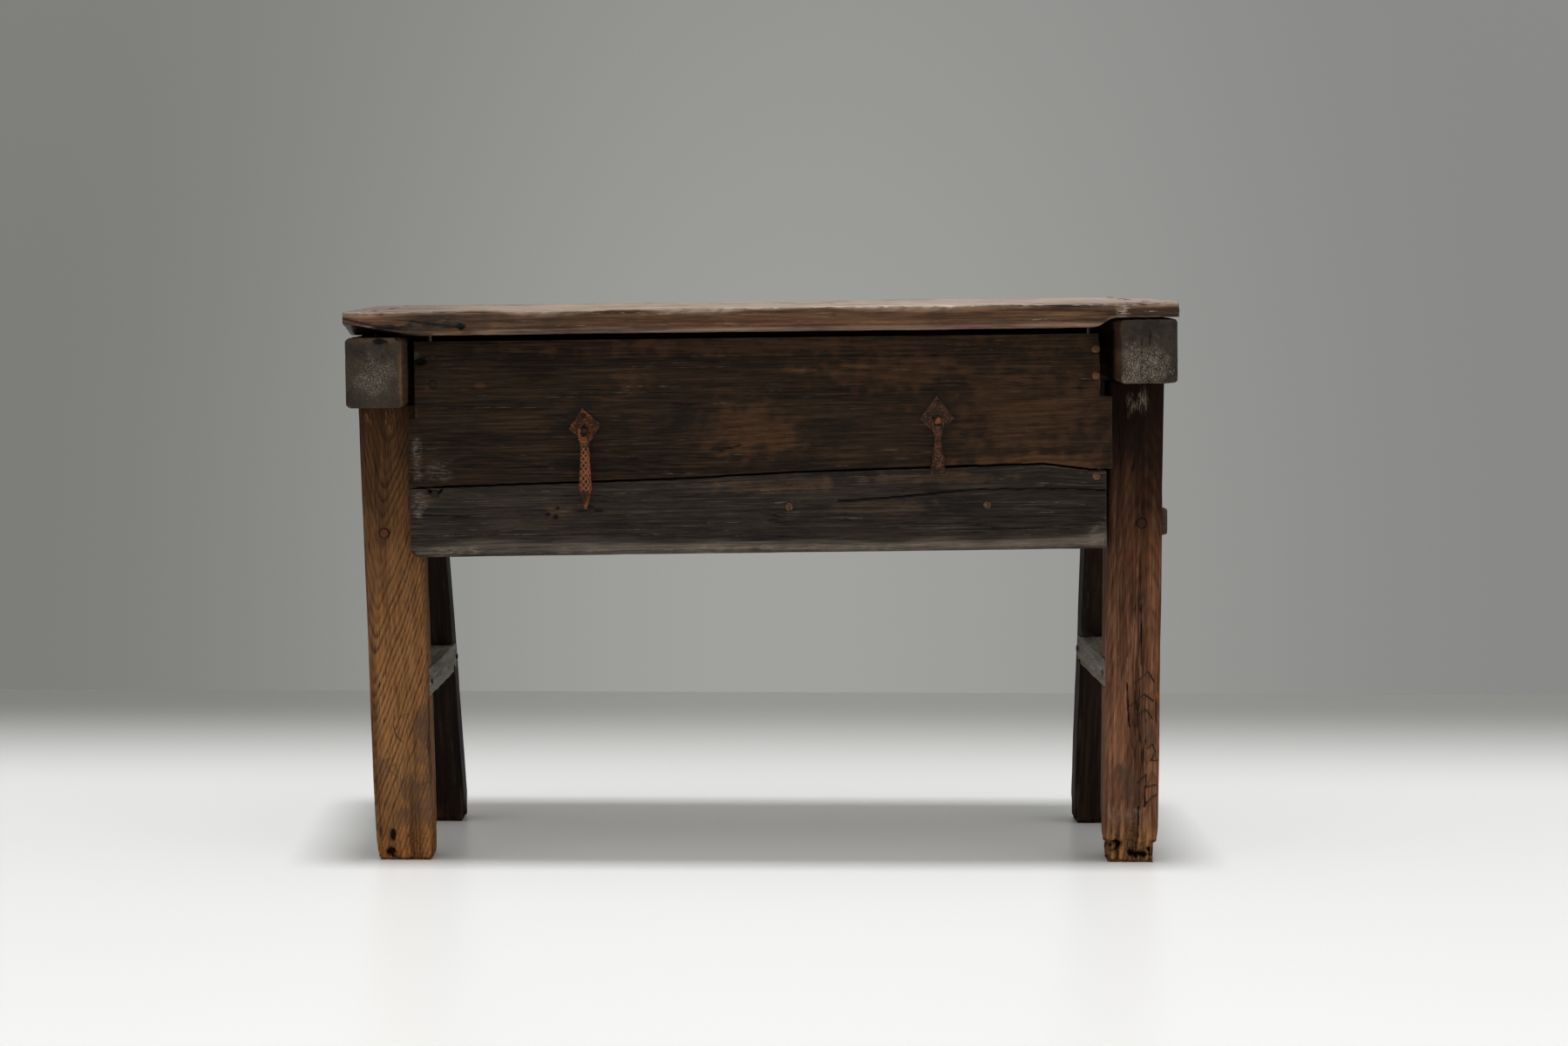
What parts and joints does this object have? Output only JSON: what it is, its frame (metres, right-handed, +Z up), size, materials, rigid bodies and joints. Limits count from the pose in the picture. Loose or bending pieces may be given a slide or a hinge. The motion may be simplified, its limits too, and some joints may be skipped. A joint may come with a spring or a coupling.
{
  "type": "writing table",
  "caption": "Rustic wooden writing table with splayed legs, a thick plank top, low side stretchers and a deep drawer with forged iron drop pulls.",
  "frame": {"origin": "on the floor, in the middle of the outline of the whole table", "axes": "+X to the right seen from the front, +Y to the back, +Z up; the drawer opens towards -Y"},
  "size_m": [1.0962, 0.56, 0.7475],
  "materials": {
    "top_planks": "worn, waxed, open grain",
    "beams": "hewn, grey end grain",
    "legs": "worn, waxed, checked",
    "stretchers": "dry, grey, unpolished",
    "inner_wood": "dry, unpolished",
    "drawer_front": "nearly black, worn lower edge",
    "forged_iron": "rusted, hammered"
  },
  "bodies": {
    "frame": {"top_front_plank": "top_planks", "top_rear_plank": "top_planks", "left_beam": "beams", "right_beam": "beams", "front_left_leg": "legs", "front_right_leg": "legs", "back_left_leg": "legs", "back_right_leg": "legs", "rail_pegs": "legs", "left_stretcher": "stretchers", "right_stretcher": "stretchers", "back_board": "inner_wood", "front_rail": "inner_wood", "back_rail": "inner_wood", "left_runner": "inner_wood", "right_runner": "inner_wood", "top_nails": "forged_iron", "stretcher_nails": "forged_iron", "back_board_nails": "forged_iron"},
    "drawer": {"drawer_front_upper_board": "drawer_front", "drawer_front_lower_board": "drawer_front", "drawer_left_side": "inner_wood", "drawer_right_side": "inner_wood", "drawer_back": "inner_wood", "drawer_bottom_front_board": "inner_wood", "drawer_bottom_rear_board": "inner_wood", "drawer_front_nails": "forged_iron", "drawer_box_nails": "forged_iron", "pull_plate_nails": "forged_iron", "left_pull_plate": "forged_iron", "right_pull_plate": "forged_iron", "left_pull_strap": "forged_iron", "right_pull_strap": "forged_iron"},
    "left_drop": {"left_drop": "forged_iron", "left_drop_pin": "forged_iron"},
    "right_drop": {"right_drop": "forged_iron", "right_drop_pin": "forged_iron"}
  },
  "joints": [
    {"name": "drawer_slide", "type": "slide", "parent": "frame", "child": "drawer", "axis": [0, -1, 0], "range_m": [0, 0.25]},
    {"name": "left_drop_swing", "type": "hinge", "parent": "drawer", "child": "left_drop", "pos_m": [-0.22938, -0.2196, 0.57294], "axis": [-0.9998, 0, -0.0175], "range_deg": [-5, 165]},
    {"name": "right_drop_swing", "type": "hinge", "parent": "drawer", "child": "right_drop", "pos_m": [0.23491, -0.2196, 0.58905], "axis": [-0.9998, 0, -0.0175], "range_deg": [-5, 165]}
  ]
}
